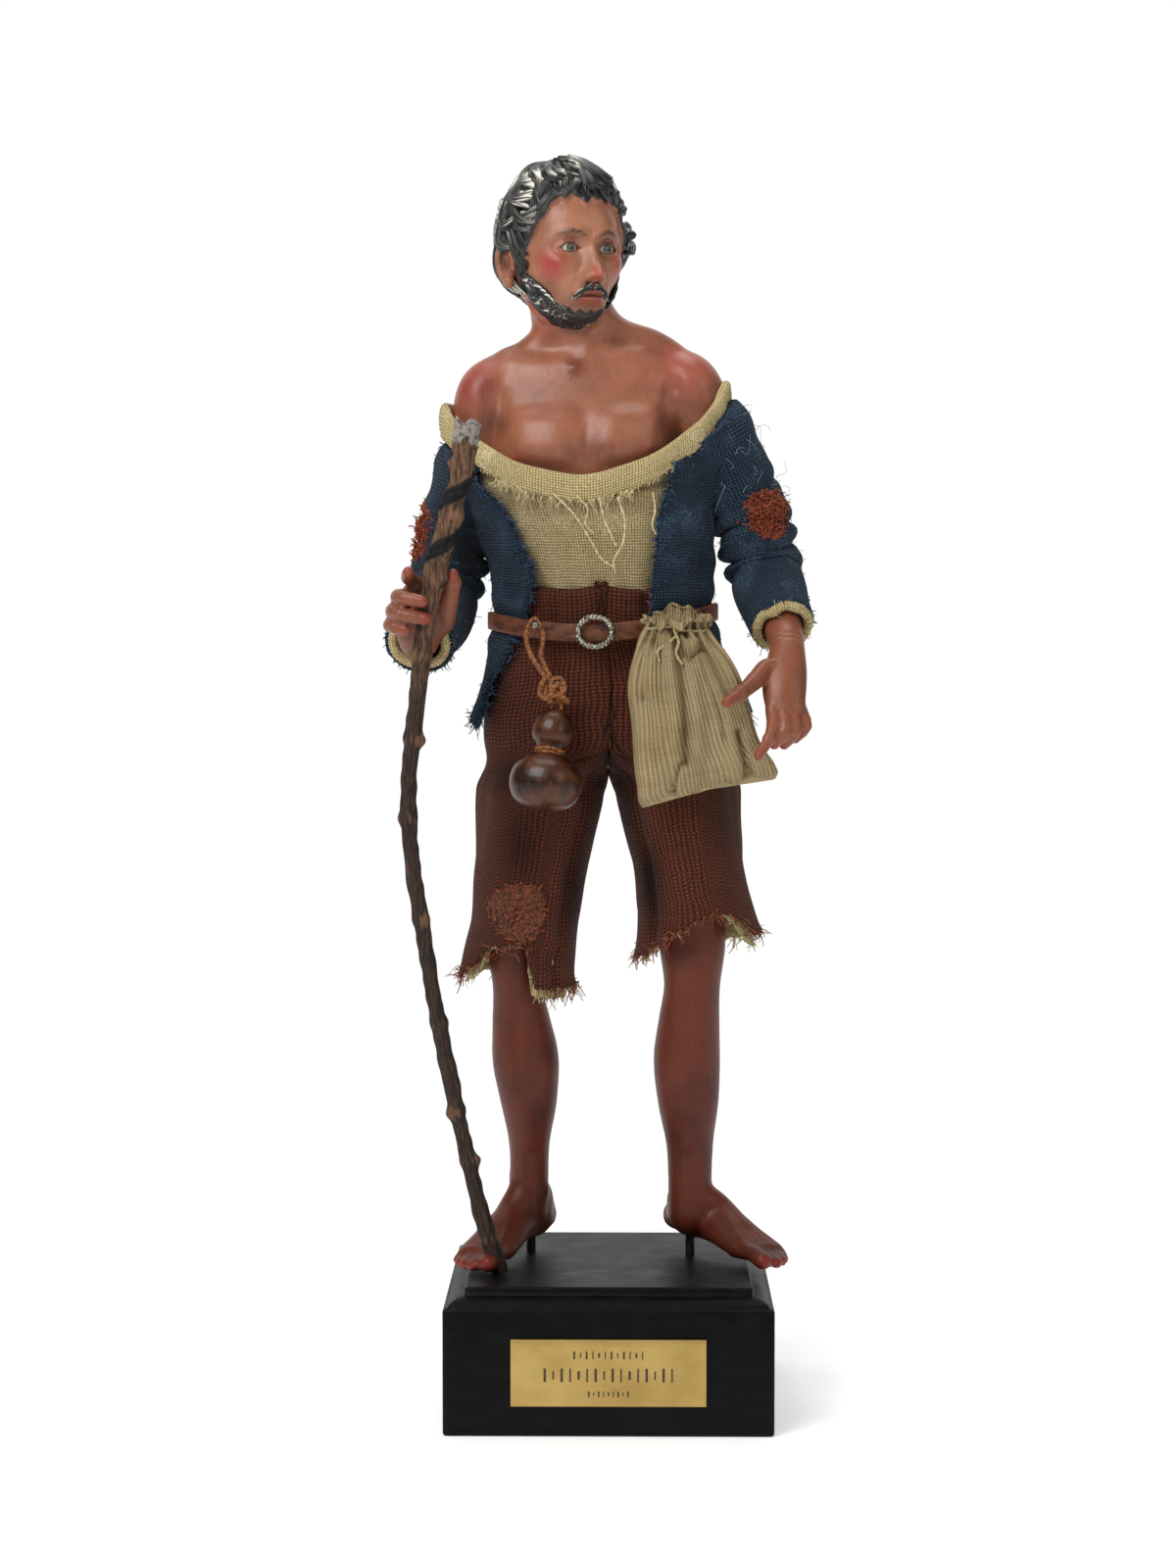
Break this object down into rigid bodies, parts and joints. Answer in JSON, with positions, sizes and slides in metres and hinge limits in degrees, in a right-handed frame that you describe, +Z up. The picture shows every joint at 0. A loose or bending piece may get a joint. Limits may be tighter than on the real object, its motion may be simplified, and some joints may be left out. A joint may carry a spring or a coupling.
{
  "type": "beggar figure",
  "caption": "Standing beggar figure of painted terracotta in real cloth clothes, holding a bent staff, with a gourd flask and a bag at the belt, on a square wooden plinth.",
  "frame": {"origin": "middle of the plinth's underside", "axes": "+Z up; the figure faces -Y; +X is the figure's left, the right of the picture"},
  "size_m": [0.1326, 0.1198, 0.3953],
  "materials": {
    "painted_wood": "satin black paint",
    "plate_brass": "brushed, lacquered",
    "pin_iron": "blackened",
    "painted_skin": "painted terracotta, satin varnish",
    "eye_glass": "painted behind glass, glossy",
    "cream_linen": "open plain weave, raw and frayed edges",
    "brown_linen": "coarse plain weave, frayed hems",
    "blue_wool": "napped wool, worn and frayed",
    "rust_wool": "looped wool pile",
    "striped_linen": "fine woven stripes",
    "belt_leather": "worn, satin",
    "antique_silver": "cast and antiqued metal",
    "thong_leather": "matt thong",
    "gourd_lacquer": "dark high-gloss lacquer",
    "staff_wood": "bark left on, grey broken top end"
  },
  "bodies": {
    "root": {"plinth": "painted_wood", "name_plate": "plate_brass", "right_foot_pin": "pin_iron", "left_foot_pin": "pin_iron", "right_leg": "painted_skin", "left_leg": "painted_skin", "bust": "painted_skin", "right_eye": "eye_glass", "left_eye": "eye_glass", "right_hand": "painted_skin", "left_hand": "painted_skin", "shirt": "cream_linen", "breeches": "brown_linen", "right_leg_lining": "cream_linen", "left_leg_lining": "cream_linen", "jacket": "blue_wool", "right_sleeve": "blue_wool", "left_sleeve": "blue_wool", "right_cuff": "cream_linen", "left_cuff": "cream_linen", "right_sleeve_patch": "rust_wool", "left_sleeve_patch": "rust_wool", "right_knee_patch": "rust_wool", "belt": "belt_leather", "buckle": "antique_silver", "belt_stud": "antique_silver", "gourd_thong": "thong_leather", "gourd": "gourd_lacquer", "bag": "striped_linen", "bag_drawstring": "cream_linen", "staff": "staff_wood"}
  },
  "joints": []
}
